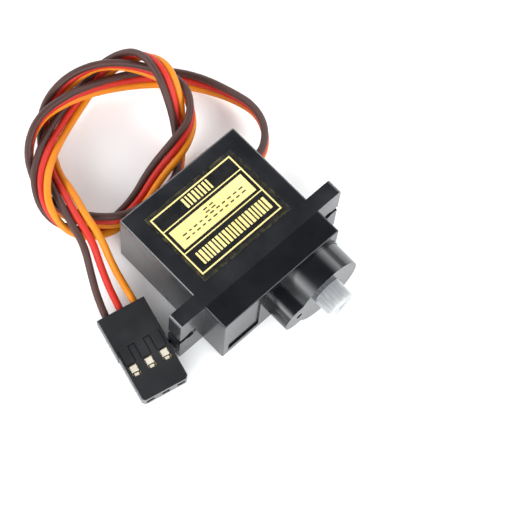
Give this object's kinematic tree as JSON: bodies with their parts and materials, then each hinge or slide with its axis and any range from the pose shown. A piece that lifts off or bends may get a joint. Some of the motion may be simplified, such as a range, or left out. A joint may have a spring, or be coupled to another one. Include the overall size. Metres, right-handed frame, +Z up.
{
  "type": "hobby servo motor",
  "caption": "Small hobby servo motor with toothed output shaft, slotted mounting ears, printed label, and a loosely coiled ribbon lead with a socket connector.",
  "frame": {"origin": "centre of the servo's footprint on the surface it lies on, without its lead", "axes": "+X along the case and the two mounting ears, with the output shaft nearer +X; the output shaft points to -Y; +Z up, out of the labelled side"},
  "size_m": [0.0451, 0.0562, 0.0123],
  "materials": {
    "black_plastic": "charcoal black moulded plastic, semi-gloss",
    "black_steel": "black-oxide steel",
    "label_film": "clear film with pale gold print over black",
    "motor_steel": "bright steel",
    "magnet": "dark ferrite",
    "iron_core": "lacquered iron laminations",
    "brass": "plain brass",
    "white_nylon": "translucent white nylon",
    "sensor_plastic": "dark moulded plastic",
    "board_green": "green solder mask",
    "chip_black": "epoxy package",
    "capacitor_tan": "ceramic",
    "tin": "tinned",
    "connector_black": "black moulded plastic, semi-gloss",
    "brown_pvc": "brown insulation",
    "red_pvc": "red insulation",
    "orange_pvc": "orange insulation"
  },
  "bodies": {
    "case": {"bottom_cover": "black_plastic", "middle_case": "black_plastic", "top_case": "black_plastic", "case_screws": "black_steel", "label": "label_film", "motor_can": "motor_steel", "motor_magnets": "magnet", "motor_end_cap": "white_nylon", "motor_terminals": "brass", "gear_pin": "motor_steel", "potentiometer_body": "sensor_plastic", "potentiometer_leads": "tin", "circuit_board": "board_green", "control_chip": "chip_black", "board_capacitors": "capacitor_tan", "connector_housing": "connector_black", "connector_terminals": "tin", "wire_brown": "brown_pvc", "wire_red": "red_pvc", "wire_orange": "orange_pvc"},
    "output": {"output_gear": "white_nylon", "potentiometer_shaft": "sensor_plastic"},
    "gear_one": {"gear_1": "white_nylon"},
    "gear_two": {"gear_2": "white_nylon"},
    "gear_three": {"gear_3": "white_nylon"},
    "rotor": {"motor_shaft": "motor_steel", "motor_pinion": "brass", "motor_armature": "iron_core"}
  },
  "joints": [
    {"name": "output_turn", "type": "hinge", "parent": "case", "child": "output", "pos_m": [0.0055, 0, 0.0061], "axis": [0, 1, 0], "range_deg": [-90, 90]},
    {"name": "gear_three_turn", "type": "hinge", "parent": "case", "child": "gear_three", "pos_m": [-0.0003, 0, 0.0061], "axis": [0, 1, 0], "range_deg": [-240, 240]},
    {"name": "gear_two_turn", "type": "hinge", "parent": "case", "child": "gear_two", "pos_m": [0.0055, 0, 0.0061], "axis": [0, 1, 0], "range_deg": [-675, 675]},
    {"name": "gear_one_turn", "type": "hinge", "parent": "case", "child": "gear_one", "pos_m": [-0.0003, 0, 0.0061], "axis": [0, 1, 0], "range_deg": [-2510, 2510]},
    {"name": "rotor_turn", "type": "hinge", "parent": "case", "child": "rotor", "pos_m": [-0.0061, 0, 0.0061], "axis": [0, 1, 0], "range_deg": [-12030, 12030]}
  ],
  "couplings": [
    {"joint": "gear_three_turn", "follows": "output_turn", "ratio": -2.6364},
    {"joint": "gear_two_turn", "follows": "output_turn", "ratio": 7.4697},
    {"joint": "gear_one_turn", "follows": "output_turn", "ratio": -27.842},
    {"joint": "rotor_turn", "follows": "output_turn", "ratio": 133.64}
  ]
}
